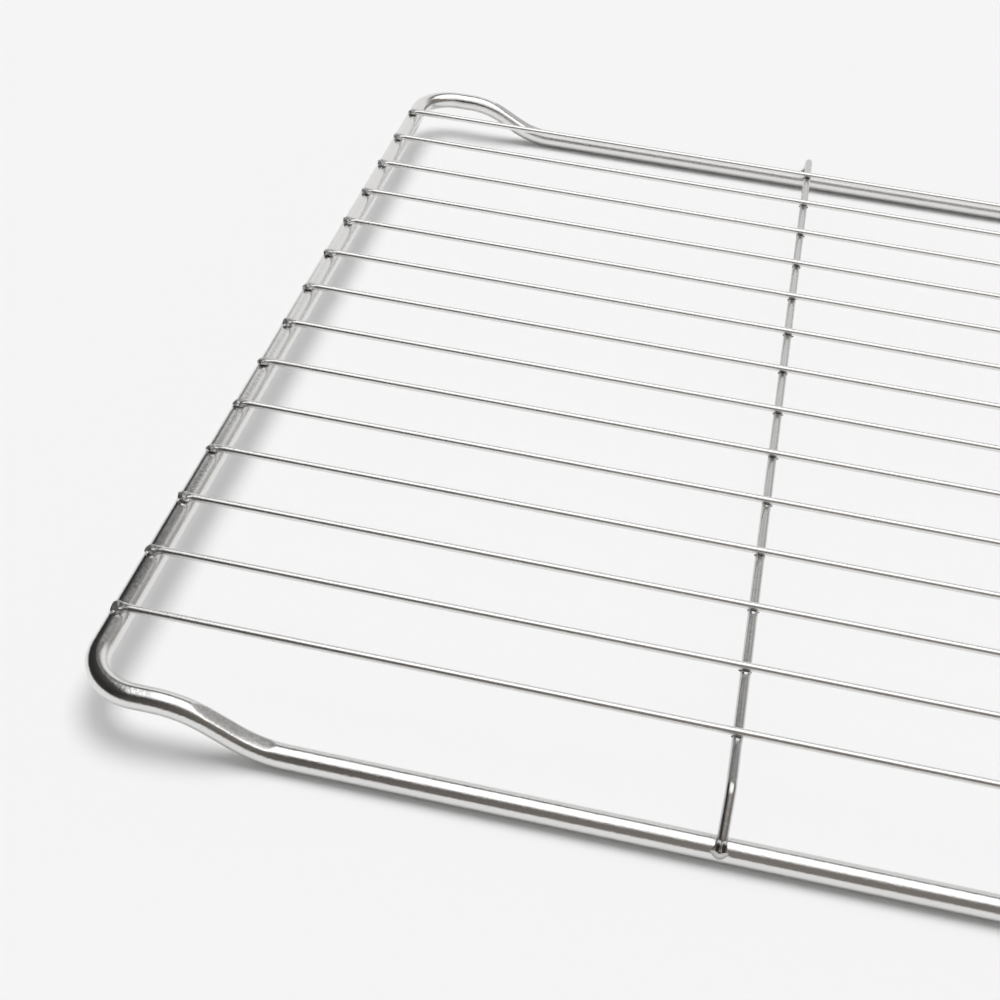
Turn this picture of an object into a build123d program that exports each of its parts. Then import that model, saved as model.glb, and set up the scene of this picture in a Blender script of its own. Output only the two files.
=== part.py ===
from build123d import *
import os
from math import cos, radians, sin, tan

# Wire roasting rack: a bent frame wire with raised ends and low rails, rack wires across the raised ends and
# braces under the rack wires, all welded. Millimetres, X along the rack wires, Y from front to back, Z up.
# The origin is in the middle of the rack, on the surface that the low rails stand on.

# Overall sizes
RACK_LENGTH = 477.0  # over the two raised ends
RACK_DEPTH = 365.0  # over the two low rails

# Wire diameters
FRAME_DIAMETER = 6.5
RACK_WIRE_DIAMETER = 2.2
BRACE_DIAMETER = 2.7
OUT_OF_ROUND = 0.01  # how much less a bent wire's radius is across than from top to bottom

# Frame wire, with bend radii to the middle of the wire
RAISED_END_RISE = 10.4  # how far the raised ends stand above the low rails
CORNER_RADIUS = 14.0
CORNER_RUN = 5.0  # straight run between a corner and its joggle
JOGGLE_ANGLE = 28.0
JOGGLE_RADIUS = 30.0

# Rack wires
RACK_WIRE_COUNT = 14
RACK_WIRE_TO_RAIL = 25.2  # between the axes of an outer rack wire and of its rail

# Braces
BRACE_TO_RAISED_END = 161.2  # between the axes of a brace and of the nearer raised end
BRACE_LEG_ANGLE = 38.0
BRACE_BEND_RADIUS = 4.0

# Welded ends
PRESSED_LENGTH = 5.0  # length of a wire's end that the welding squeezes into a spade
PRESSED_STEP = 0.15  # where a spade begins: out at the sides and the top, and in underneath
PRESSED_BEVEL = 0.45  # along a spade's upper edges
RACK_WIRE_OVERHANG = 1.8  # from the middle of the raised end to the tip
RACK_WIRE_TIP_WIDTH = 3.2
RACK_WIRE_TIP_HEIGHT = 1.7
BRACE_OVERHANG = 1.6  # from where the leg touches the rail to the tip
BRACE_TIP_WIDTH = 4.7
BRACE_TIP_HEIGHT = 1.8

# Radii and positions that follow from them
FRAME_RADIUS = FRAME_DIAMETER / 2
RACK_WIRE_RADIUS = RACK_WIRE_DIAMETER / 2
BRACE_RADIUS = BRACE_DIAMETER / 2

RAISED_END_X = RACK_LENGTH / 2 - FRAME_RADIUS + OUT_OF_ROUND
RAIL_Y = RACK_DEPTH / 2 - FRAME_RADIUS + OUT_OF_ROUND
RAIL_Z = FRAME_RADIUS
RAISED_END_Z = RAIL_Z + RAISED_END_RISE
RACK_WIRE_Z = RAISED_END_Z + FRAME_RADIUS + RACK_WIRE_RADIUS - PRESSED_STEP
OUTER_WIRE_Y = RAIL_Y - RACK_WIRE_TO_RAIL
RACK_WIRE_PITCH = 2 * OUTER_WIRE_Y / (RACK_WIRE_COUNT - 1)
RACK_WIRE_YS = [i * RACK_WIRE_PITCH - OUTER_WIRE_Y for i in range(RACK_WIRE_COUNT)]
BRACE_X = RAISED_END_X - BRACE_TO_RAISED_END
BRACE_Z = RACK_WIRE_Z - RACK_WIRE_RADIUS - BRACE_RADIUS

JOGGLE_SLOPE = radians(JOGGLE_ANGLE)
JOGGLE_TANGENT = JOGGLE_RADIUS * tan(JOGGLE_SLOPE / 2)
JOGGLE_TOP_X = RAISED_END_X - CORNER_RADIUS - CORNER_RUN - JOGGLE_TANGENT
JOGGLE_LOW_X = JOGGLE_TOP_X - RAISED_END_RISE / tan(JOGGLE_SLOPE)


def frame_axis():
    """Middle line of the frame wire: two raised ends, joined by two low rails with a joggle at each corner."""
    along = [
        (-RAISED_END_X, RAISED_END_Z, CORNER_RADIUS),
        (-JOGGLE_TOP_X, RAISED_END_Z, JOGGLE_RADIUS),
        (-JOGGLE_LOW_X, RAIL_Z, JOGGLE_RADIUS),
        (JOGGLE_LOW_X, RAIL_Z, JOGGLE_RADIUS),
        (JOGGLE_TOP_X, RAISED_END_Z, JOGGLE_RADIUS),
        (RAISED_END_X, RAISED_END_Z, CORNER_RADIUS),
    ]
    front = [(x, -RAIL_Y, z) for x, z, radius in along]
    back = [(x, RAIL_Y, z) for x, z, radius in reversed(along)]
    radii = [radius for x, z, radius in along]
    return FilletPolyline(*front, *back, radius=radii + radii[::-1], close=True)


def bent_wire(axis, radius, across):
    """Wire swept along an axis, a little out of round; across is the level direction at the axis's start."""
    section = Plane(axis @ 0, x_dir=across, z_dir=axis % 0) * Ellipse(radius - OUT_OF_ROUND, radius)
    return sweep(section, path=axis)


def frame_wire():
    """One wire, bent into a loop and butt-welded."""
    axis = frame_axis()
    return bent_wire(axis, FRAME_RADIUS, Vector(0, 0, 1).cross(axis % 0))


def spade_section(half_width, low, high):
    """Section of a squeezed wire end, bevelled along the top."""
    bevel_x = half_width - PRESSED_BEVEL
    bevel_y = high - PRESSED_BEVEL
    corners = [
        (-half_width, low),
        (half_width, low),
        (half_width, bevel_y),
        (bevel_x, high),
        (-bevel_x, high),
        (-half_width, bevel_y),
    ]
    return Polygon(*corners, align=None)


def pressed_end(touch, along, away, radius, overhang, width, height):
    """Wire end squeezed into a spade, wide and low, with a flat underside that rests on a frame bar.

    touch is the point of the wire's axis above the bar's middle, along points to the tip and away from the bar.
    """
    start_half = radius + PRESSED_STEP
    low = PRESSED_STEP - radius
    start = spade_section(start_half, low, start_half)
    tip = spade_section(width / 2, low, low + height)
    spade = loft([start, Pos(0, 0, PRESSED_LENGTH) * tip], ruled=True)
    return Plane(touch + along * (overhang - PRESSED_LENGTH), x_dir=away.cross(along), z_dir=along) * spade


def rack_wire():
    """Straight wire over both raised ends, at the middle of the rack's depth."""
    straight = 2 * (RAISED_END_X + RACK_WIRE_OVERHANG - PRESSED_LENGTH)
    wire = Pos(0, 0, RACK_WIRE_Z) * Rot(0, 90, 0) * Cylinder(RACK_WIRE_RADIUS, straight)
    for side in (-1, 1):
        wire += pressed_end(
            Vector(side * RAISED_END_X, 0, RACK_WIRE_Z),
            Vector(side, 0, 0),
            Vector(0, 0, 1),
            RACK_WIRE_RADIUS,
            RACK_WIRE_OVERHANG,
            RACK_WIRE_TIP_WIDTH,
            RACK_WIRE_TIP_HEIGHT,
        )
    return wire


def brace():
    """Wire under the rack wires, at the middle of the rack's length, with a leg bent down onto each rail."""
    leg_angle = radians(BRACE_LEG_ANGLE)
    seat_height = FRAME_RADIUS + BRACE_RADIUS - PRESSED_STEP
    corners = []
    leg_ends = []
    feet = []
    for side in (-1, 1):
        along = Vector(0, side * cos(leg_angle), -sin(leg_angle))
        away = Vector(0, side * sin(leg_angle), cos(leg_angle))
        touch = Vector(0, side * RAIL_Y, RAIL_Z) + away * seat_height
        corners.append(touch - along * ((BRACE_Z - touch.Z) / sin(leg_angle)))
        leg_ends.append(touch + along * (BRACE_OVERHANG - PRESSED_LENGTH))
        feet.append(
            pressed_end(touch, along, away, BRACE_RADIUS, BRACE_OVERHANG, BRACE_TIP_WIDTH, BRACE_TIP_HEIGHT)
        )
    axis = FilletPolyline(leg_ends[0], corners[0], corners[1], leg_ends[1], radius=BRACE_BEND_RADIUS)
    return bent_wire(axis, BRACE_RADIUS, Vector(1, 0, 0)) + feet


def rack():
    """Every piece of the rack by its name."""
    wire = rack_wire()
    cross = brace()
    pieces = {"frame_wire": frame_wire()}
    for number, y in enumerate(RACK_WIRE_YS, start=1):
        pieces[f"rack_wire_{number:02d}"] = Pos(0, y, 0) * wire
    pieces["brace_left"] = Pos(-BRACE_X, 0, 0) * cross
    pieces["brace_right"] = Pos(BRACE_X, 0, 0) * cross
    return pieces


os.makedirs("parts", exist_ok=True)
for name, piece in rack().items():
    export_step(piece, f"parts/{name}.step")
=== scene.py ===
"""Chrome roasting rack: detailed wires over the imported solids, with a studio round them.

Lengths are in metres. X runs along the rack wires, Y from front to back and Z up from the table.
"""

import math
import random

import bpy
import numpy as np
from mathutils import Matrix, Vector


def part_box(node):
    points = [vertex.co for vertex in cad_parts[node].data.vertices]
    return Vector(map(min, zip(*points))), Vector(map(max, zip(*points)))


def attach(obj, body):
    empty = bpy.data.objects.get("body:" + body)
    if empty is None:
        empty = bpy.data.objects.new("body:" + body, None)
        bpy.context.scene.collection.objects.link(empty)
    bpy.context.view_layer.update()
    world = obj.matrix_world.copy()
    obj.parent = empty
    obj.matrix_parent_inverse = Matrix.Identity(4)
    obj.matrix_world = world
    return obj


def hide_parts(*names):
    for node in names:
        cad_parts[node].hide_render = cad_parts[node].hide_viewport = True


bl_info = {
    "name": "Chrome roasting rack",
    "version": (1, 0, 0),
    "blender": (4, 5, 0),
    "location": "3D View > Sidebar > Rack",
    "description": "Builds the wires of a chrome roasting rack and a studio to show it in",
    "category": "Add Mesh",
}

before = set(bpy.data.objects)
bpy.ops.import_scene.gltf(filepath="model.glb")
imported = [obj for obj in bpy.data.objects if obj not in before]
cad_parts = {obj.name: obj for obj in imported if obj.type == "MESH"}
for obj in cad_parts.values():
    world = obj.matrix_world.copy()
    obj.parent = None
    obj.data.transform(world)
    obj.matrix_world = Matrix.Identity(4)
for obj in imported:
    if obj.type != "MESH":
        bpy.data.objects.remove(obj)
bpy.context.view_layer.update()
RACK_WIRE_NODES = sorted(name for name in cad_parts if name.startswith("rack_wire"))
BRACE_NODES = sorted(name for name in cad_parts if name.startswith("brace"))
NOISE_RANGE = (0.3, 0.7)  # values of a noise texture that become 0 and 1
CARD_REACH = 1.8  # how far the wide cards reach to the left and to the right


def length(name, description, default):
    """Property that holds a length."""
    return bpy.props.FloatProperty(
        name=name, description=description, default=default, unit="LENGTH", precision=5
    )


def angle(name, description, default):
    """Property that holds an angle, with its default in degrees."""
    return bpy.props.FloatProperty(
        name=name, description=description, default=math.radians(default), subtype="ANGLE"
    )


def share(name, description, default):
    """Property that holds a number from 0 to 1."""
    return bpy.props.FloatProperty(
        name=name, description=description, default=default, min=0.0, max=1.0, subtype="FACTOR"
    )


def strength(name, description, default):
    """Property that holds a light's strength."""
    return bpy.props.FloatProperty(name=name, description=description, default=default, min=0.0)


def colour(name, description, default):
    """Property that holds a colour."""
    return bpy.props.FloatVectorProperty(
        name=name, description=description, default=default, subtype="COLOR", min=0.0, max=1.0
    )


class FrameWireSettings(bpy.types.PropertyGroup):
    """Sizes of the frame wire, which is bent into a loop."""

    diameter: length("Diameter", "Diameter of the frame wire", 0.0065)
    corner_radius: length("Corner radius", "Bend radius of a corner, to the wire's middle", 0.014)
    corner_run: length("Corner run", "Straight run between a corner and its joggle", 0.005)
    joggle_angle: angle("Joggle angle", "Slope between a raised end and a low rail", 28.0)
    joggle_radius: length("Joggle radius", "Bend radius of a joggle, to the wire's middle", 0.030)
    flat_depth: length("Tool flat depth", "Depth of the flat that the joggle tool leaves", 0.0005)
    flat_end: angle("Tool flat end", "Part of the lower bend that the flat stops short of", 7.0)
    flat_run_out: angle("Tool flat run-out", "Part of the lower bend over which the flat ends", 11.0)


class RackWireSettings(bpy.types.PropertyGroup):
    """Sizes of the rack wires and of their squeezed ends."""

    diameter: length("Diameter", "Diameter of a rack wire", 0.0022)
    sink: length("Weld sink", "How far a wire's end is pressed into the frame wire", 0.00015)
    pressed: length("Pressed length", "Length of a wire's end that the welding squeezes", 0.005)
    tip_width: length("Tip width", "Width of the squeezed tip", 0.0032)
    tip_height: length("Tip height", "Height of the squeezed tip", 0.0017)
    tip_fall: length("Tip fall", "How far the tip's top falls away towards its end", 0.0005)
    flash: length("Weld flash", "How far metal is squeezed out beside the weld", 0.0003)
    unevenness: length("Unevenness", "How much one squeezed tip differs from the next", 0.0002)


class BraceSettings(bpy.types.PropertyGroup):
    """Sizes of the braces under the rack wires."""

    diameter: length("Diameter", "Diameter of a brace", 0.0027)
    leg_angle: angle("Leg angle", "Slope of the legs that come down on the rails", 38.0)
    bend_radius: length("Bend radius", "Bend radius above a leg, to the wire's middle", 0.004)
    overhang: length("Overhang", "From where a leg touches its rail to the tip", 0.0026)
    tip_width: length("Foot width", "Width of the fan-shaped foot", 0.0052)
    tip_height: length("Foot height", "Height of the fan-shaped foot", 0.0018)
    # The hollow depth also sets how much painted shade the hollows get
    hollow: share("Foot hollow", "Depth of the hollows beside the foot's ridge", 0.8)
    weld_swell: length("Weld swell", "How far a crossing's weld stands out of the brace", 0.00025)
    weld_flash: length("Weld flash", "How far metal is squeezed out beside a crossing", 0.0012)


class ChromeSettings(bpy.types.PropertyGroup):
    """Finish of the chrome plating."""

    plating: colour("Plating", "Colour of clean chrome", (0.76, 0.755, 0.745))
    # Partly painted shade: the braces' chrome is darker than the frame's for a duller finish and also to
    # stand in for the darker light they get
    dull_and_shaded: colour("Brace plating", "Colour of the duller chrome on the braces", (0.6, 0.595, 0.585))
    pressed: colour("Tool mark", "Colour of the chrome where a tool pressed on it", (0.36, 0.356, 0.352))
    # This colour is also painted into the braces' foot hollows as shade
    stain_and_shade: colour("Weld stain", "Colour of the plating beside a weld", (0.1, 0.097, 0.094))
    polish: share("Roughness", "Roughness of clean chrome", 0.14)
    drawn: share("Rack wire roughness", "Roughness of the chrome on the rack wires", 0.24)
    satin: share("Brace roughness", "Roughness of the duller chrome on the braces", 0.18)


class StudioSettings(bpy.types.PropertyGroup):
    """Table, lights, cards and camera."""

    table: colour("Table", "Colour of the table", (0.9, 0.9, 0.9))
    backdrop: colour("Backdrop", "Colour that the camera and the chrome see", (0.913, 0.913, 0.913))
    ambient: strength("Ambient", "Soft light from all round", 0.38)
    key: strength("Key", "Strength of the key light, which comes from high at the back", 2.063)
    key_height: angle("Key height", "Height of the key light above the horizon", 75.0)
    key_turn: angle("Key turn", "How far the key light stands to the left of the back", 0.0)
    key_softness: angle("Key softness", "How wide the key light looks from the rack", 44.0)
    softbox: strength("Softbox", "Brightness of the softbox that the chrome reflects", 1.7)
    room: colour("Room", "Colour of the dark room in front of the rack", (0.22, 0.2, 0.183))
    wall: colour("Wall", "Colour of the wall above the backdrop", (0.09, 0.088, 0.086))
    flag: colour("Flag", "Colour of the darkest cards", (0.03, 0.029, 0.028))
    camera_place: bpy.props.FloatVectorProperty(
        name="Camera place",
        description="Where the camera stands",
        default=(-0.097384, -0.433727, 0.303243),
        subtype="TRANSLATION",
        unit="LENGTH",
    )
    camera_turn: bpy.props.FloatVectorProperty(
        name="Camera turn",
        description="How the camera is turned",
        default=(math.radians(51.097), math.radians(-4.231), math.radians(11.831)),
        subtype="EULER",
    )
    camera_lens: bpy.props.FloatProperty(
        name="Camera lens",
        description="Focal length in millimetres",
        default=57.227,
        subtype="DISTANCE_CAMERA",
    )


class RackSettings(bpy.types.PropertyGroup):
    """Everything about the rack that a user would change."""

    frame_wire: bpy.props.PointerProperty(type=FrameWireSettings)
    rack_wire: bpy.props.PointerProperty(type=RackWireSettings)
    brace: bpy.props.PointerProperty(type=BraceSettings)
    chrome: bpy.props.PointerProperty(type=ChromeSettings)
    studio: bpy.props.PointerProperty(type=StudioSettings)


# Tubes


def unit(vectors):
    """Vectors at a length of one."""
    return vectors / np.linalg.norm(vectors, axis=-1, keepdims=True)


def ease(value):
    """Smooth step from 0 to 1."""
    value = np.clip(value, 0.0, 1.0)
    return value * value * (3.0 - 2.0 * value)


def soft_lower(value, limit, softness):
    """The lower of two heights, with a rounded edge where they meet."""
    return value - softness * np.logaddexp(0.0, (value - limit) / softness)


def bell(distance, width):
    """Soft bump that is 1 at no distance and fades out over a width."""
    return np.exp(-((distance / width) ** 2))


def run_points(start, end, spacing):
    """Points between the ends of a straight run, without the ends themselves."""
    count = math.ceil(np.linalg.norm(end - start) / spacing)
    steps = np.arange(1, count)[:, None] / max(count, 1)
    return start + (end - start) * steps


def rounded_route(corners, radii, closed, spacing, fine):
    """Points and directions along straight runs and the arcs that round their corners.

    An open route starts and ends at its first and last corners, which have no radius.
    """
    corners = np.array(corners)
    count = len(corners)
    turning = range(count) if closed else range(1, count - 1)
    points = []
    directions = []
    run_start = None if closed else corners[0]
    for index in turning:
        corner = corners[index]
        come = unit(corner - corners[index - 1])
        go = unit(corners[(index + 1) % count] - corner)
        turn = math.acos(np.clip(come @ go, -1.0, 1.0))
        radius = radii[index]
        inward = unit(go - come * math.cos(turn))
        arc_start = corner - come * radius * math.tan(turn / 2)
        if run_start is not None:
            run = run_points(run_start, arc_start, spacing)
            points.extend(run)
            directions.extend([come] * len(run))
        for bend in np.linspace(0.0, turn, math.ceil(radius * turn / fine) + 1):
            step = come * math.sin(bend) + inward * (1.0 - math.cos(bend))
            points.append(arc_start + radius * step)
            directions.append(come * math.cos(bend) + inward * math.sin(bend))
        run_start = points[-1]
    run_end = points[0] if closed else corners[-1]
    run = run_points(run_start, run_end, spacing)
    points.extend(run)
    directions.extend([unit(run_end - run_start)] * len(run))
    if not closed:
        points = [corners[0], *points, corners[-1]]
        directions = [directions[0], *directions, directions[-1]]
    return np.array(points), np.array(directions)


def lengths(points):
    """How far each point of a route is from its start, along it."""
    return np.concatenate([[0.0], np.cumsum(np.linalg.norm(np.diff(points, axis=0), axis=1))])


def refined(points, directions, extra):
    """Route with more stations, which are given as lengths along it."""
    along = lengths(points)
    stations = np.unique(np.round(np.concatenate([along, extra]), 5))
    points = np.stack([np.interp(stations, along, values) for values in points.T], axis=-1)
    directions = np.stack([np.interp(stations, along, values) for values in directions.T], axis=-1)
    return points, unit(directions)


def tube(name, rings, masks, closed=False):
    """Mesh object of a tube from its rings of points, with UVs round it and along it in metres."""
    count, sides = rings.shape[:2]
    ring = np.arange(count if closed else count - 1)[:, None]
    side = np.arange(sides)[None, :]
    next_ring = (ring + 1) % count * sides
    next_side = (side + 1) % sides
    corners = [ring * sides + side, ring * sides + next_side, next_ring + next_side, next_ring + side]
    quads = np.stack(corners, axis=-1).reshape(-1, 4)
    faces = quads.tolist()
    if not closed:
        faces.append(list(range(sides))[::-1])
        faces.append(list(range((count - 1) * sides, count * sides)))
    mesh = bpy.data.meshes.new(name)
    mesh.from_pydata(rings.reshape(-1, 3).tolist(), [], faces)

    middles = rings.mean(axis=1)
    along = lengths(np.concatenate([middles, middles[:1]]))
    across = np.stack(np.broadcast_arrays(side, side + 1, side + 1, side), axis=-1) / sides
    across = np.broadcast_to(across, (len(ring), sides, 4))
    lengthwise = np.stack([along[ring], along[ring], along[ring + 1], along[ring + 1]], axis=-1)
    lengthwise = np.broadcast_to(lengthwise, (len(ring), sides, 4))
    uv = np.zeros((len(mesh.loops), 2), np.float32)
    uv[: quads.size] = np.stack([across, lengthwise], axis=-1).reshape(-1, 2)
    mesh.uv_layers.new(name="along_wire").data.foreach_set("uv", uv.ravel())
    for mask_name, values in masks.items():
        mask = mesh.attributes.new(mask_name, "FLOAT", "POINT")
        mask.data.foreach_set("value", values.astype(np.float32).ravel())
    mesh.shade_smooth()
    piece = bpy.data.objects.new(name, mesh)
    bpy.context.scene.collection.objects.link(piece)
    return piece


def around(sides):
    """Angles round a tube, from its underside."""
    return np.arange(sides) * (2 * math.pi / sides) - math.pi / 2


def middle(node):
    """Middle of a solid's box, from left to right and from front to back."""
    low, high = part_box(node)
    return (low.x + high.x) / 2, (low.y + high.y) / 2


def set_on_frame(piece, node, material):
    """Lets a piece stand for its solid, with its finish."""
    piece.data.materials.append(material)
    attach(piece, "root")
    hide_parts(node)


# Materials


def add_node(tree, kind, inputs=None, **values):
    """Adds a node with its settings and its constant inputs."""
    node = tree.nodes.new(kind)
    for name, value in values.items():
        setattr(node, name, value)
    for name, value in (inputs or {}).items():
        node.inputs[name].default_value = value
    return node


def new_group(name, inputs, outputs):
    """Empty shader node group with named sockets, and its two end nodes."""
    tree = bpy.data.node_groups.new(name, "ShaderNodeTree")
    for socket, kind, default in inputs:
        made = tree.interface.new_socket(socket, in_out="INPUT", socket_type=kind)
        if default is not None:
            made.default_value = default
    for socket in outputs:
        tree.interface.new_socket(socket, in_out="OUTPUT", socket_type="NodeSocketFloat")
    return tree, tree.nodes.new("NodeGroupInput"), tree.nodes.new("NodeGroupOutput")


def map_range(tree, value, low, high):
    """Value stretched so that low becomes 0 and high becomes 1."""
    node = add_node(tree, "ShaderNodeMapRange", {"From Min": low, "From Max": high})
    tree.links.new(value, node.inputs["Value"])
    return node.outputs["Result"]


def math_node(tree, operation, *values):
    """Result of a sum on values, each a socket or a number."""
    node = add_node(tree, "ShaderNodeMath", operation=operation)
    for socket, value in zip(node.inputs, values):
        if isinstance(value, bpy.types.NodeSocket):
            tree.links.new(value, socket)
        else:
            socket.default_value = value
    return node.outputs[0]


def noise(tree, place, scale, detail, roughness):
    """Noise at a place, with its scale from a socket."""
    node = add_node(tree, "ShaderNodeTexNoise", {"Detail": detail, "Roughness": roughness})
    tree.links.new(place, node.inputs["Vector"])
    tree.links.new(scale, node.inputs["Scale"])
    return node.outputs["Fac"]


def drawn_lines_group():
    """Fine lines that the drawing die leaves along a wire."""
    tree, given, result = new_group(
        "Drawn lines",
        [
            ("Along Wire", "NodeSocketVector", None),
            ("Lines Round", "NodeSocketFloat", 50.0),
            ("Lines per Metre", "NodeSocketFloat", 25.0),
        ],
        ["Lines"],
    )
    stretch = add_node(tree, "ShaderNodeCombineXYZ")
    tree.links.new(given.outputs["Lines Round"], stretch.inputs["X"])
    tree.links.new(given.outputs["Lines per Metre"], stretch.inputs["Y"])
    scaled = add_node(tree, "ShaderNodeVectorMath", operation="MULTIPLY")
    tree.links.new(given.outputs["Along Wire"], scaled.inputs[0])
    tree.links.new(stretch.outputs[0], scaled.inputs[1])
    streaks = add_node(tree, "ShaderNodeTexNoise", {"Scale": 1.0, "Detail": 3.0, "Roughness": 0.6})
    tree.links.new(scaled.outputs[0], streaks.inputs["Vector"])
    tree.links.new(map_range(tree, streaks.outputs["Fac"], *NOISE_RANGE), result.inputs["Lines"])
    return tree


def plating_group():
    """Fine grain and patches of pits in the plating, and slow clouding of its polish."""
    pit_edge = 0.34
    pit_floor = 0.12
    patch_edge = 0.42
    patch_middle = 0.62
    tree, given, result = new_group(
        "Plating",
        [
            ("Position", "NodeSocketVector", None),
            ("Grain per Metre", "NodeSocketFloat", 1100.0),
            ("Pits per Metre", "NodeSocketFloat", 1900.0),
            ("Clouds per Metre", "NodeSocketFloat", 60.0),
        ],
        ["Grain", "Pits", "Clouds"],
    )
    place = given.outputs["Position"]
    grain = noise(tree, place, given.outputs["Grain per Metre"], detail=4.0, roughness=0.7)
    clouds = noise(tree, place, given.outputs["Clouds per Metre"], detail=4.0, roughness=0.65)
    cells = add_node(tree, "ShaderNodeTexVoronoi", {"Randomness": 1.0})
    tree.links.new(place, cells.inputs["Vector"])
    tree.links.new(given.outputs["Pits per Metre"], cells.inputs["Scale"])
    spots = map_range(tree, cells.outputs["Distance"], pit_edge, pit_floor)
    patches = map_range(tree, clouds, patch_edge, patch_middle)
    tree.links.new(map_range(tree, grain, *NOISE_RANGE), result.inputs["Grain"])
    tree.links.new(math_node(tree, "MULTIPLY", spots, patches), result.inputs["Pits"])
    tree.links.new(map_range(tree, clouds, *NOISE_RANGE), result.inputs["Clouds"])
    return tree


def stain_group():
    """Stain beside a weld, with a broken edge; the same mask also lays painted shade in the braces' foot
    hollows.
    """
    stain_edge = 0.85
    stain_middle = 1.35
    tree, given, result = new_group(
        "Weld stain",
        [
            ("Position", "NodeSocketVector", None),
            ("Weld", "NodeSocketFloat", 0.0),
            ("Blotches per Metre", "NodeSocketFloat", 700.0),
        ],
        ["Stain"],
    )
    scale = given.outputs["Blotches per Metre"]
    blotches = noise(tree, given.outputs["Position"], scale, detail=3.0, roughness=0.5)
    broken = math_node(tree, "ADD", given.outputs["Weld"], blotches)
    tree.links.new(map_range(tree, broken, stain_edge, stain_middle), result.inputs["Stain"])
    return tree


def place_group(tree, group, links, values):
    """Places a node group with its links and its own values."""
    node = add_node(tree, "ShaderNodeGroup", node_tree=group)
    for name, socket in links.items():
        tree.links.new(socket, node.inputs[name])
    for name, value in values.items():
        node.inputs[name].default_value = value
    return node


def mixed_colour(tree, factor, first, second):
    """Mix of two colours, each a socket or a plain colour."""
    node = add_node(tree, "ShaderNodeMix", data_type="RGBA")
    tree.links.new(factor, node.inputs["Factor"])
    for socket, value in zip((node.inputs["A"], node.inputs["B"]), (first, second)):
        if isinstance(value, bpy.types.NodeSocket):
            tree.links.new(value, socket)
        else:
            socket.default_value = (*value, 1.0)
    return node.outputs["Result"]


def chrome_tint(tree, settings, plating_colour, grain, tool, stain_and_shade):
    """Colour of the plating, grainy where a tool pressed on it, dark beside a weld, and dark with painted
    shade in the braces' foot hollows.
    """
    grain_share = 0.6
    plain_share = 0.4
    speckled = math_node(tree, "MULTIPLY_ADD", grain, grain_share, plain_share)
    marked = math_node(tree, "MULTIPLY", tool, speckled)
    pressed = mixed_colour(tree, marked, plating_colour, settings.pressed)
    return mixed_colour(tree, stain_and_shade, pressed, settings.stain_and_shade)


def chrome_roughness(tree, roughness, clouds, tool, stain_and_shade):
    """Roughness of the plating: clouded all over, and more where a tool or a weld dulled it."""
    cloud_share = 0.05
    tool_share = 0.12
    stain_share = 0.16
    clouded = math_node(tree, "MULTIPLY_ADD", clouds, cloud_share, roughness)
    dulled = math_node(tree, "MULTIPLY_ADD", tool, tool_share, clouded)
    return math_node(tree, "MULTIPLY_ADD", stain_and_shade, stain_share, dulled)


def chrome_relief(tree, plating, lines, line_depth, grain_depth, tool):
    """Normal of the plating: drawing lines, pits, and grain that a tool makes coarser."""
    pit_depth = 0.2
    tool_grain = 0.5
    raised = math_node(tree, "MULTIPLY", lines, line_depth)
    sunk = math_node(tree, "MULTIPLY", plating["Pits"], pit_depth)
    coarse = math_node(tree, "MULTIPLY_ADD", tool, tool_grain, grain_depth)
    smooth = math_node(tree, "SUBTRACT", raised, sunk)
    relief = math_node(tree, "MULTIPLY_ADD", plating["Grain"], coarse, smooth)
    bump = add_node(tree, "ShaderNodeBump", {"Strength": 0.5, "Distance": 0.0001})
    tree.links.new(relief, bump.inputs["Height"])
    return bump.outputs["Normal"]


def chrome(name, settings, plating_colour, roughness, lines_round, line_depth, grain_depth):
    """Chrome over drawn wire: drawing lines, grain, pits, weld stains, painted shade in the braces' foot
    hollows and dull tool marks.
    """
    groups = chrome_groups()
    material = bpy.data.materials.new(name)
    material.use_nodes = True
    tree = material.node_tree
    shader = tree.nodes["Principled BSDF"]
    shader.inputs["Metallic"].default_value = 1.0

    places = add_node(tree, "ShaderNodeTexCoord").outputs
    # The weld mask holds weld stain, and on the braces also painted shade in the foot hollows
    weld = add_node(tree, "ShaderNodeAttribute", attribute_name="weld").outputs["Fac"]
    tool = add_node(tree, "ShaderNodeAttribute", attribute_name="tool_mark").outputs["Fac"]
    position = {"Position": places["Object"]}
    lines = place_group(tree, groups["lines"], {"Along Wire": places["UV"]}, {"Lines Round": lines_round})
    plating = place_group(tree, groups["plating"], position, {}).outputs
    stain_and_shade = place_group(tree, groups["stain_and_shade"], {**position, "Weld": weld}, {}).outputs["Stain"]

    tint = chrome_tint(tree, settings, plating_colour, plating["Grain"], tool, stain_and_shade)
    rough = chrome_roughness(tree, roughness, plating["Clouds"], tool, stain_and_shade)
    normal = chrome_relief(tree, plating, lines.outputs["Lines"], line_depth, grain_depth, tool)
    tree.links.new(tint, shader.inputs["Base Color"])
    tree.links.new(rough, shader.inputs["Roughness"])
    tree.links.new(normal, shader.inputs["Normal"])
    return material


def chrome_groups():
    """The node groups that the chrome finishes share, made once."""
    makers = {"lines": drawn_lines_group, "plating": plating_group, "stain_and_shade": stain_group}
    names = {"lines": "Drawn lines", "plating": "Plating", "stain_and_shade": "Weld stain"}
    return {key: bpy.data.node_groups.get(names[key]) or make() for key, make in makers.items()}


# Wires


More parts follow.
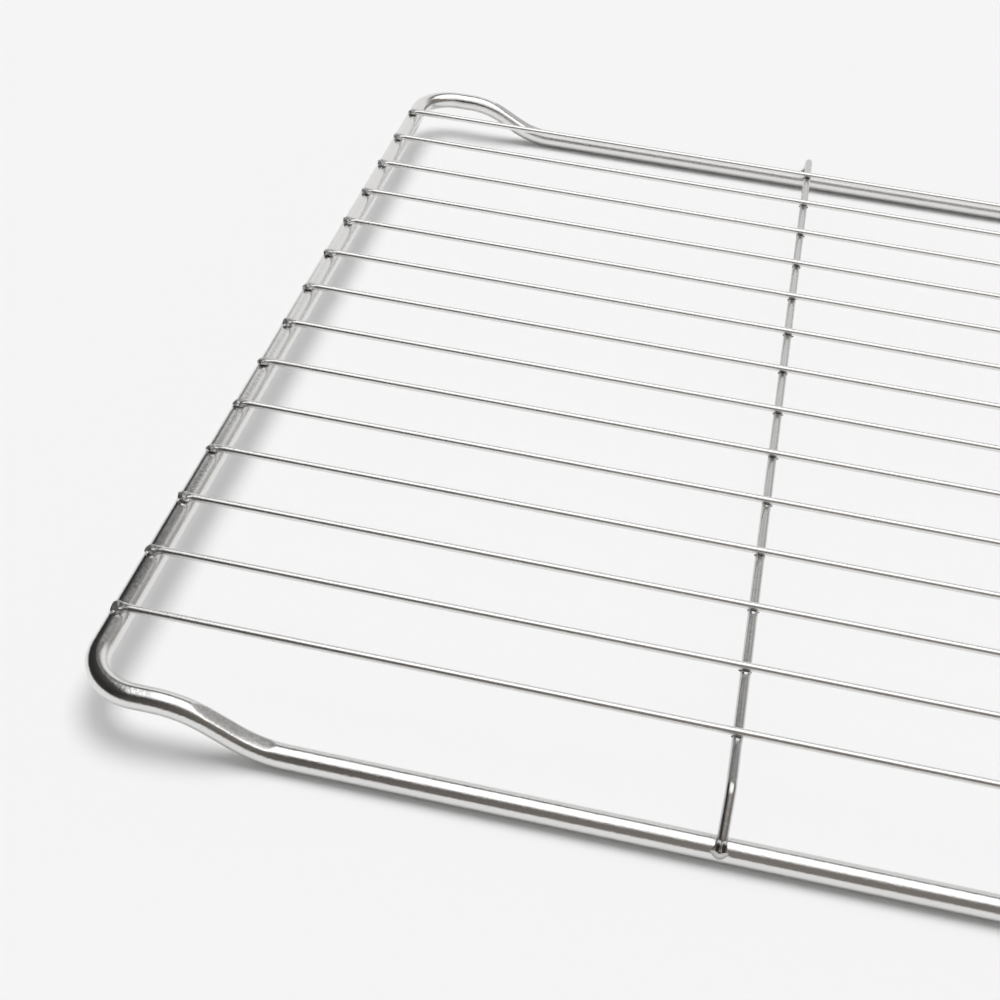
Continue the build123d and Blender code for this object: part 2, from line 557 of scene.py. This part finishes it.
def frame_route(settings):
    """Middle line of the frame wire, from the solid's own box, and the height halfway up its joggles."""
    radius = settings.diameter / 2
    low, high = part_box("frame_wire")
    end_x = high.x - radius
    rail_y = high.y - radius
    rail_z = low.z + radius
    end_z = high.z - radius
    tangent = settings.joggle_radius * math.tan(settings.joggle_angle / 2)
    top_x = end_x - settings.corner_radius - settings.corner_run - tangent
    low_x = top_x - (end_z - rail_z) / math.tan(settings.joggle_angle)
    left = [
        (-end_x, end_z, settings.corner_radius),
        (-top_x, end_z, settings.joggle_radius),
        (-low_x, rail_z, settings.joggle_radius),
    ]
    right = [(-x, z, bend) for x, z, bend in reversed(left)]
    front = [(x, -rail_y, z) for x, z, bend in left + right]
    back = [(x, rail_y, z) for x, z, bend in reversed(left + right)]
    radii = [bend for x, z, bend in left + right]
    route = rounded_route(front + back, radii + radii[::-1], closed=True, spacing=0.005, fine=0.0004)
    return route, (rail_z + end_z) / 2


def tool_flat_height(points, directions, middle_z, settings):
    """How high the joggle tool leaves the wire above its middle, for each ring.

    In the upper bend the flat runs straight on until it leaves the wire.
    In the lower bend it ends in a step.
    """
    least_slope = 0.001
    radius = settings.diameter / 2
    flat = radius - settings.flat_depth
    slope = np.abs(np.arcsin(np.clip(directions[:, 2], -1.0, 1.0)))
    off_slope = settings.joggle_angle - slope
    run_out = (flat + settings.joggle_radius * (1.0 - np.cos(off_slope))) / np.cos(off_slope)
    ended = ease((settings.flat_end - slope) / settings.flat_run_out + 0.5)
    step = flat + 2 * settings.flat_depth * ended
    height = np.where(points[:, 2] < middle_z, step, run_out)
    return np.where(slope > least_slope, height, settings.diameter)


def build_frame_wire(settings, material):
    """Frame wire: a loop of round wire with a pressed flat on each of its four joggles."""
    sides = 64
    edge_rounding = 0.0002
    mark_fade = 0.0002
    radius = settings.diameter / 2
    (points, directions), middle_z = frame_route(settings)
    across = unit(np.cross((0.0, 0.0, 1.0), directions))
    up = np.cross(directions, across)
    turn = around(sides)
    sideways = radius * np.cos(turn)
    round_height = radius * np.sin(turn)
    limit = tool_flat_height(points, directions, middle_z, settings)[:, None]
    height = soft_lower(round_height, limit, edge_rounding)
    rings = points[:, None] + across[:, None] * sideways[:, None] + up[:, None] * height[..., None]
    pressed = ease((round_height - limit) / mark_fade + 0.5)
    piece = tube("chrome_frame_wire", rings, {"tool_mark": pressed}, closed=True)
    set_on_frame(piece, "frame_wire", material)


def rack_wire_stations(half, pressed, crossings):
    """Places of the rings along a rack wire, how much each is drawn in and which are on the cut ends.

    A cut end has a rounded edge and a shallow dish. Each result is a column with a row for each ring.
    """
    edge = 0.0003
    edge_drawn_in = 0.25
    dish_depths = np.array((0.0001, 0.00022))
    dish_sizes = (0.6, 0.3)
    tip_rings = 70
    plain_rings = 80
    weld_rings = 21
    weld_reach = 0.003
    turn = np.radians((30.0, 60.0, 90.0))
    tip = np.concatenate([half - edge + edge * np.sin(turn), half - dish_depths])
    tip_drawn_in = np.concatenate([1.0 - edge_drawn_in * (1.0 - np.cos(turn)), dish_sizes])
    tip_cut = np.array((0.0, 0.3, 1.0, 1.0, 1.0))
    plain = half - 2 * pressed
    fine = [np.linspace(side * (half - edge), side * plain, tip_rings) for side in (-1, 1)]
    near = [np.linspace(x - weld_reach, x + weld_reach, weld_rings) for x in crossings]
    body = np.concatenate([*fine, *near, np.linspace(-plain, plain, plain_rings)])
    body = np.unique(np.round(body, 5))
    places = np.concatenate([-tip[::-1], body, tip])
    drawn_in = np.concatenate([tip_drawn_in[::-1], np.ones(len(body)), tip_drawn_in])
    cut = np.concatenate([tip_cut[::-1], np.zeros(len(body)), tip_cut])
    return places[:, None], drawn_in[:, None], cut[:, None]


def tip_differences(node, places, settings):
    """How a rack wire's tips differ from the plain form: width, lift, reach, lean, twist and ripple."""
    most_lean = 0.3
    most_twist = 0.2
    uneven = settings.unevenness
    chance = random.Random(node)
    left, right = [[chance.uniform(-1.0, 1.0) for value in range(6)] for tip in range(2)]
    mixed = np.where(places > 0, right, left)
    scales = (uneven, uneven / 2, uneven, most_lean, most_twist, math.pi)
    return (mixed * scales).T[..., None]


def tip_section(places, end, bar_x, bar, widen, lift, settings):
    """How far a rack wire is squeezed at each ring, and its half width, bottom and top there."""
    squeeze_run = 0.7 * settings.pressed
    fall_run = 0.0018
    radius = settings.diameter / 2
    from_end = end - np.abs(places)
    squeezed = ease((settings.pressed - from_end) / squeeze_run)
    past_middle = np.clip(np.abs(places) - bar_x, 0.0, bar)
    sag = bar - np.sqrt(bar**2 - past_middle**2)
    half_width = radius + (settings.tip_width / 2 + widen - radius) * squeezed
    tip_top = settings.sink - radius + settings.tip_height + lift
    fall = settings.tip_fall * ease((fall_run - from_end) / fall_run)
    top = radius + (tip_top - radius) * squeezed - fall
    bottom = -radius - sag * squeezed
    return squeezed, half_width, bottom, top


def lumpy_ring(turn, places, squeezed, phase):
    """Cosine and sine round each ring, squarer and lumpier where the wire is squeezed."""
    squarer = 0.35
    slow_waves = 2
    quick_waves = 5
    slow_height = 0.05
    quick_height = 0.035
    slow_twist = 2600.0
    quick_twist = 4100.0
    power = 1.0 - squarer * squeezed
    slow_ripple = np.sin(slow_waves * turn + phase + slow_twist * places)
    quick_ripple = np.sin(quick_waves * turn - phase - quick_twist * places)
    lump = 1.0 + squeezed * (slow_height * slow_ripple + quick_height * quick_ripple)
    cosine = np.sign(np.cos(turn)) * np.abs(np.cos(turn)) ** power
    sine = np.sign(np.sin(turn)) * np.abs(np.sin(turn)) ** power
    return cosine * lump, sine * lump


def build_rack_wire(node, settings, frame_settings, material):
    """Rack wire: round wire with each end squeezed on a raised end and cut off, no two tips alike."""
    sides = 36
    bar_weld = 0.0018
    brace_weld = 0.0016
    flash_height = 0.3
    weld_height = 0.2
    mark_height = 0.7
    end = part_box(node)[1].x
    frame_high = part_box("frame_wire")[1]
    bar = frame_settings.diameter / 2
    bar_x = frame_high.x - bar
    crossings = [middle(brace)[0] for brace in BRACE_NODES]
    places, drawn_in, cut = rack_wire_stations(end, settings.pressed, crossings)
    widen, lift, reach, lean, twist, phase = tip_differences(node, places, settings)
    squeezed, half_width, bottom, top = tip_section(places, end, bar_x, bar, widen, lift, settings)

    turn = around(sides)
    at_bar = bell(np.abs(places) - bar_x, bar_weld)
    squeezed_out = settings.flash * at_bar * ease(flash_height - np.sin(turn)) * np.cos(turn)
    cosine, sine = lumpy_ring(turn, places, squeezed, phase)
    sideways = (half_width * cosine + squeezed_out) * drawn_in
    upright = (top - bottom) / 2 * sine * drawn_in
    tilt = twist * squeezed
    ring_y = sideways * np.cos(tilt) - upright * np.sin(tilt)
    ring_z = sideways * np.sin(tilt) + upright * np.cos(tilt) + (top + bottom) / 2
    ring_x = places + squeezed * (np.sign(places) * reach + ring_y * lean)
    wire_y = middle(node)[1]
    wire_z = frame_high.z + settings.diameter / 2 - settings.sink
    rings = np.stack([ring_x, wire_y + ring_y, wire_z + ring_z], axis=-1)

    at_brace = sum(bell(places - x, brace_weld) for x in crossings)
    under = ease(weld_height - np.sin(turn))
    masks = {
        "weld": np.maximum(np.maximum(at_bar, at_brace) * under, cut),
        "tool_mark": squeezed * ease(np.sin(turn) / mark_height),
    }
    piece = tube(f"chrome_{node}", rings, masks)
    piece.visible_shadow = False
    set_on_frame(piece, node, material)


def brace_route(settings, wire_settings, frame_settings, brace_x):
    """Middle line of a brace, from the front foot's tip to the back foot's."""
    bar = frame_settings.diameter / 2
    radius = settings.diameter / 2
    low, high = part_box("frame_wire")
    rail_y = high.y - bar
    rail_z = low.z + bar
    brace_z = high.z - wire_settings.sink - radius
    seat = bar + radius - wire_settings.sink
    lean = settings.leg_angle
    touch_y = rail_y + seat * math.sin(lean)
    touch_z = rail_z + seat * math.cos(lean)
    corner_y = touch_y - (brace_z - touch_z) / math.tan(lean)
    tip_y = touch_y + settings.overhang * math.cos(lean)
    tip_z = touch_z - settings.overhang * math.sin(lean)
    half = [(brace_x, -tip_y, tip_z), (brace_x, -corner_y, brace_z)]
    other_half = [(x, -y, z) for x, y, z in reversed(half)]
    radii = [0.0, settings.bend_radius, settings.bend_radius, 0.0]
    return rounded_route(half + other_half, radii, closed=False, spacing=0.0016, fine=0.0002)


def brace_stations(points, wire_ys, pressed):
    """Lengths along a brace where its welds and its feet need more rings."""
    weld_reach = 0.003
    weld_rings = 51
    lip_end = 0.0018
    lip_rings = 24
    foot_start = 0.0019
    foot_end = 1.2 * pressed
    foot_rings = 30
    along = lengths(points)
    crossings = np.interp(wire_ys, points[:, 1], along)
    welds = crossings[:, None] + np.linspace(-weld_reach, weld_reach, weld_rings)
    lip = np.linspace(0.0, lip_end, lip_rings)
    foot = np.concatenate([lip, np.linspace(foot_start, foot_end, foot_rings)])
    return np.concatenate([welds.ravel(), foot, along[-1] - foot])


def foot_section(from_tip, settings, pressed, bar):
    """How far a brace fans out at each ring, and its half width, bottom, top and hollows there."""
    lip = 0.0016
    lip_thickness = 0.03
    hollow_start = 0.7 * lip
    hollow_end = 0.0045
    start_fade = 0.0006
    end_fade = 0.0014
    radius = settings.diameter / 2
    fan = np.clip(1.0 - from_tip / pressed, 0.0, 1.0)
    past_touch = np.clip(settings.overhang - from_tip, 0.0, bar)
    bottom = np.sqrt(bar**2 - past_touch**2) - bar - radius
    half_width = radius + (settings.tip_width / 2 - radius) * fan**2
    rounded = np.sqrt(1.0 - np.clip(1.0 - from_tip / lip, 0.0, 1.0) ** 2)
    height = 2 * radius + (settings.tip_height - 2 * radius) * ease(fan)
    top = bottom + height * (lip_thickness + (1.0 - lip_thickness) * rounded)
    hollow = ease((hollow_end - from_tip) / end_fade) * ease((from_tip - hollow_start) / start_fade)
    return fan, half_width, bottom, top, settings.hollow * hollow


def crossing_welds(ys, wire_ys, node, settings):
    """Swelling at a brace's crossings, and the flash squeezed out to its right and left."""
    swell_place = 0.0008
    swell_width = 0.0007
    flash_place = 0.0004
    flash_width = 0.00012
    chance = random.Random(node)
    swell = np.zeros_like(ys)
    flash = np.zeros((2, *ys.shape))
    for wire_y in wire_ys:
        beside = np.abs(ys - wire_y) - swell_place
        swell += chance.uniform(0.7, 1.2) * bell(beside, swell_width)
        thin = bell(ys - wire_y + flash_place, flash_width)
        for side in range(2):
            flash[side] += chance.uniform(0.0, 1.0) * thin
    return settings.weld_swell * swell, settings.weld_flash * flash


def brace_rings(points, directions, wire_ys, node, settings, pressed, bar):
    """Rings of points along a brace, with its feet and its welds, and how dark each point is: weld stain,
    and painted shade in the foot's hollows.
    """
    sides = 36
    fin_height = 0.6
    fin_width = 0.2
    foot_rounding = 0.0016
    stain_width = 0.0006
    stained_flash = 0.3 * settings.weld_flash
    # Painted shade: how strongly the stain colour darkens the hollows beside a foot's ridge
    hollow_shade = 1.6
    along = lengths(points)[:, None]
    from_tip = np.minimum(along, along[-1] - along)
    fan, half_width, bottom, top, hollow = foot_section(from_tip, settings, pressed, bar)
    ys = points[:, 1:2]
    swell, (right_flash, left_flash) = crossing_welds(ys, wire_ys, node, settings)

    turn = around(sides)
    cosine = np.cos(turn)
    sine = np.sin(turn)
    upper = ease(sine)
    fin = bell(sine - fin_height, fin_width)
    squeezed_out = np.where(cosine < 0, -right_flash, left_flash) * fin
    beside_ridge = hollow * np.abs(np.sin(math.pi * cosine)) * upper
    sideways = half_width * cosine + swell * cosine * upper + squeezed_out
    upright = (top - bottom) / 2 * sine * (1.0 - beside_ridge)
    height = (top + bottom) / 2 + upright + swell * upper
    pointing = np.where(along < along[-1] / 2, -1.0, 1.0)
    round_off = -foot_rounding * fan**3 * pointing * cosine**2
    across = np.broadcast_to((-1.0, 0.0, 0.0), directions.shape)
    up = np.cross(directions, across)
    rings = (
        points[:, None]
        + across[:, None] * sideways[..., None]
        + up[:, None] * height[..., None]
        + directions[:, None] * round_off[..., None]
    )
    near_wire = sum(bell(ys - y, stain_width) for y in wire_ys)
    darkened = np.maximum(near_wire, np.abs(squeezed_out) / stained_flash)
    # Weld stain near the wires and the flash, with painted shade added in the foot's hollows
    return rings, np.clip(np.maximum(darkened, hollow_shade * beside_ridge), 0.0, 1.0)


def build_brace(node, settings, wire_settings, frame_settings, material):
    """Brace: bent wire, welded under the rack wires, with a fan-shaped foot on each rail."""
    pressed = wire_settings.pressed
    bar = frame_settings.diameter / 2
    wire_ys = [middle(wire)[1] for wire in RACK_WIRE_NODES]
    points, directions = brace_route(settings, wire_settings, frame_settings, middle(node)[0])
    points, directions = refined(points, directions, brace_stations(points, wire_ys, pressed))
    rings, darkened = brace_rings(points, directions, wire_ys, node, settings, pressed, bar)
    # The brace's weld mask also carries the painted shade of its foot hollows
    piece = tube(f"chrome_{node}", rings, {"weld": darkened})
    piece.visible_shadow = False
    set_on_frame(piece, node, material)


# Studio


def soft_mask(tree, soft):
    """Mask that fades a card out along its edges: start, end, foot and head, each over its share."""
    edges = (("X", 0.0, 1.0), ("X", 1.0, -1.0), ("Y", 0.0, 1.0), ("Y", 1.0, -1.0))
    places = add_node(tree, "ShaderNodeTexCoord")
    split = add_node(tree, "ShaderNodeSeparateXYZ")
    tree.links.new(places.outputs["UV"], split.inputs[0])
    mask = 1.0
    for (axis, edge, inward), width in zip(edges, soft):
        if width > 0:
            faded = map_range(tree, split.outputs[axis], edge, edge + inward * width)
            mask = math_node(tree, "MULTIPLY", faded, mask)
    return mask


def card(name, corners, light, soft=()):
    """Card that only the chrome sees: four corners, its light and how softly its edges end."""
    mesh = bpy.data.meshes.new(name)
    mesh.from_pydata(corners, [], [range(4)])
    mesh.uv_layers.new(name="card").data.foreach_set("uv", (0.0, 0.0, 1.0, 0.0, 1.0, 1.0, 0.0, 1.0))
    material = bpy.data.materials.new(name)
    material.use_nodes = True
    tree = material.node_tree
    tree.nodes.clear()
    glow = add_node(tree, "ShaderNodeEmission", {"Color": (*light, 1.0)})
    surface = add_node(tree, "ShaderNodeOutputMaterial")
    if any(soft):
        clear = add_node(tree, "ShaderNodeBsdfTransparent")
        fade = add_node(tree, "ShaderNodeMixShader")
        tree.links.new(soft_mask(tree, soft), fade.inputs[0])
        tree.links.new(clear.outputs[0], fade.inputs[1])
        tree.links.new(glow.outputs[0], fade.inputs[2])
        tree.links.new(fade.outputs[0], surface.inputs["Surface"])
    else:
        tree.links.new(glow.outputs[0], surface.inputs["Surface"])
    mesh.materials.append(material)
    made = bpy.data.objects.new(name, mesh)
    bpy.context.scene.collection.objects.link(made)
    made.visible_camera = False
    made.visible_diffuse = False
    made.visible_shadow = False
    made.visible_transmission = False


def level(left, right, front, back, height):
    """Corners of a level sheet at a height."""
    return [(left, front, height), (right, front, height), (right, back, height), (left, back, height)]


def leaning(left, right, foot_y, head_y, head_z):
    """Corners of a card that stands on the table and leans back from the rack."""
    return [(left, foot_y, 0.0), (right, foot_y, 0.0), (right, head_y, head_z), (left, head_y, head_z)]


def hung(start, end, low, high):
    """Corners of a card hung upright between two points of the floor plan."""
    return [(*start, low), (*end, low), (*end, high), (*start, high)]


def build_table(settings):
    """Pale table top that takes the rack's shadow."""
    size = 4.0
    mesh = bpy.data.meshes.new("table")
    mesh.from_pydata(level(-size, size, -size, size, 0.0), [], [range(4)])
    material = bpy.data.materials.new("table_paper")
    material.use_nodes = True
    shader = material.node_tree.nodes["Principled BSDF"]
    shader.inputs["Base Color"].default_value = (*settings.table, 1.0)
    shader.inputs["Roughness"].default_value = 1.0
    shader.inputs["Specular IOR Level"].default_value = 0.0
    mesh.materials.append(material)
    table = bpy.data.objects.new("table", mesh)
    bpy.context.scene.collection.objects.link(table)


def build_softbox(settings):
    """Softbox overhead, which the tops of the wires reflect."""
    height = 1.5
    left = -1.2
    front_angle = math.radians(24.0)
    back_angle = math.radians(60.0)
    front = -height * math.tan(front_angle)
    back = height / math.tan(back_angle)
    card("softbox", level(left, CARD_REACH, front, back, height), (settings.softbox,) * 3)


def build_room(settings):
    """Dark room in front of the rack, which is darkest at the left."""
    foot_y = -0.3
    head_y = -0.51
    head_z = 0.62
    soft_head = 0.3
    room = leaning(-CARD_REACH, CARD_REACH, foot_y, head_y, head_z)
    card("room_in_front", room, settings.room, soft=(0.0, 0.0, 0.0, soft_head))
    dark_end = -0.08
    soft_end = 0.15
    nearer = 0.01
    dark = leaning(-CARD_REACH, dark_end, foot_y + nearer, head_y + nearer, head_z)
    card("room_at_left", dark, settings.flag, soft=(0.0, soft_end, 0.0, soft_head))


def build_wall(settings):
    """Dark wall above the backdrop, whose foot rises from left to right."""
    back_y = 1.35
    top = 2.5
    soft_foot = 0.18
    feet = ((-CARD_REACH, 0.8), (-0.1, 1.14), (CARD_REACH, 1.3))
    for (start_x, start_z), (end_x, end_z) in zip(feet, feet[1:]):
        wall = [
            (start_x, back_y, start_z),
            (end_x, back_y, end_z),
            (end_x, back_y, top),
            (start_x, back_y, top),
        ]
        card("wall_behind", wall, settings.wall, soft=(0.0, 0.0, soft_foot, 0.0))


def build_flags(settings):
    """A flag at each side of the rack, the darker one at the left."""
    front_y = -1.6
    height = 1.3
    left_x = -0.7
    left_back = 0.75
    right_x = 0.9
    right_back = 2.1
    left = hung((left_x, front_y), (left_x, left_back), 0.0, height)
    card("left_flag", left, settings.flag, soft=(0.0, 0.13, 0.0, 0.0))
    right = hung((right_x, front_y), (right_x, right_back), 0.0, height)
    card("right_flag", right, settings.room, soft=(0.0, 0.4, 0.0, 0.0))


def build_lights(settings):
    """Key light, and a world that is pale for the camera and the chrome and soft light for the rest."""
    key = bpy.data.lights.new("key", "SUN")
    key.energy = settings.key
    key.angle = settings.key_softness
    lamp = bpy.data.objects.new("key", key)
    lamp.rotation_euler = (settings.key_height - math.pi / 2, 0.0, settings.key_turn)
    lamp.visible_glossy = False
    bpy.context.scene.collection.objects.link(lamp)

    world = bpy.data.worlds.new("studio")
    world.use_nodes = True
    tree = world.node_tree
    sky = tree.nodes["Background"]
    path = add_node(tree, "ShaderNodeLightPath")
    seen = math_node(tree, "MAXIMUM", path.outputs["Is Camera Ray"], path.outputs["Is Glossy Ray"])
    shown = mixed_colour(tree, seen, (settings.ambient,) * 3, settings.backdrop)
    tree.links.new(shown, sky.inputs["Color"])
    bpy.context.scene.world = world


def build_camera(settings):
    """Camera at the photograph's view."""
    data = bpy.data.cameras.new("camera")
    data.lens = settings.camera_lens
    data.clip_start = 0.01
    camera = bpy.data.objects.new("camera", data)
    camera.location = settings.camera_place
    camera.rotation_euler = settings.camera_turn
    bpy.context.scene.collection.objects.link(camera)
    bpy.context.scene.camera = camera


# Operators


class RACK_OT_frame_wire(bpy.types.Operator):
    """Build the frame wire"""

    bl_idname = "rack.frame_wire"
    bl_label = "Frame wire"

    def execute(self, context):
        settings = context.scene.rack_settings
        finish = settings.chrome
        material = chrome(
            "frame_chrome",
            finish,
            finish.plating,
            finish.polish,
            lines_round=60.0,
            line_depth=0.06,
            grain_depth=0.45,
        )
        build_frame_wire(settings.frame_wire, material)
        return {"FINISHED"}


class RACK_OT_rack_wires(bpy.types.Operator):
    """Build the rack wires"""

    bl_idname = "rack.rack_wires"
    bl_label = "Rack wires"

    def execute(self, context):
        settings = context.scene.rack_settings
        finish = settings.chrome
        material = chrome(
            "rack_wire_chrome",
            finish,
            finish.plating,
            finish.drawn,
            lines_round=24.0,
            line_depth=0.06,
            grain_depth=0.25,
        )
        for node in RACK_WIRE_NODES:
            build_rack_wire(node, settings.rack_wire, settings.frame_wire, material)
        return {"FINISHED"}


class RACK_OT_braces(bpy.types.Operator):
    """Build the braces"""

    bl_idname = "rack.braces"
    bl_label = "Braces"

    def execute(self, context):
        settings = context.scene.rack_settings
        finish = settings.chrome
        material = chrome(
            "brace_chrome",
            finish,
            # Brace chrome: duller, and darkened further as painted shade
            finish.dull_and_shaded,
            finish.satin,
            lines_round=28.0,
            line_depth=0.4,
            grain_depth=0.4,
        )
        for node in BRACE_NODES:
            build_brace(node, settings.brace, settings.rack_wire, settings.frame_wire, material)
        return {"FINISHED"}


class RACK_OT_studio(bpy.types.Operator):
    """Build the table, the lights, the cards and the camera"""

    bl_idname = "rack.studio"
    bl_label = "Studio"

    def execute(self, context):
        settings = context.scene.rack_settings.studio
        build_table(settings)
        build_softbox(settings)
        build_room(settings)
        build_wall(settings)
        build_flags(settings)
        build_lights(settings)
        build_camera(settings)
        context.scene.view_settings.view_transform = "Standard"
        return {"FINISHED"}


class RACK_PT_sidebar(bpy.types.Panel):
    """The rack's pieces and their settings"""

    bl_idname = "RACK_PT_sidebar"
    bl_label = "Roasting rack"
    bl_space_type = "VIEW_3D"
    bl_region_type = "UI"
    bl_category = "Rack"

    def draw(self, context):
        settings = context.scene.rack_settings
        for operator, group in (
            (RACK_OT_frame_wire, settings.frame_wire),
            (RACK_OT_rack_wires, settings.rack_wire),
            (RACK_OT_braces, settings.brace),
            (RACK_OT_studio, settings.studio),
        ):
            box = self.layout.box()
            box.operator(operator.bl_idname)
            for name in group.__annotations__:
                box.prop(group, name)
        box = self.layout.box()
        box.label(text="Chrome")
        for name in settings.chrome.__annotations__:
            box.prop(settings.chrome, name)


CLASSES = (
    FrameWireSettings,
    RackWireSettings,
    BraceSettings,
    ChromeSettings,
    StudioSettings,
    RackSettings,
    RACK_OT_frame_wire,
    RACK_OT_rack_wires,
    RACK_OT_braces,
    RACK_OT_studio,
    RACK_PT_sidebar,
)


def register():
    """Registers the classes and puts the settings on the scene."""
    for cls in CLASSES:
        bpy.utils.register_class(cls)
    bpy.types.Scene.rack_settings = bpy.props.PointerProperty(type=RackSettings)


def unregister():
    """Takes the settings off the scene and unregisters the classes."""
    del bpy.types.Scene.rack_settings
    for cls in reversed(CLASSES):
        bpy.utils.unregister_class(cls)


def main():
    """Builds the whole scene."""
    register()
    bpy.ops.rack.frame_wire()
    bpy.ops.rack.rack_wires()
    bpy.ops.rack.braces()
    bpy.ops.rack.studio()


if __name__ == "__main__":
    main()
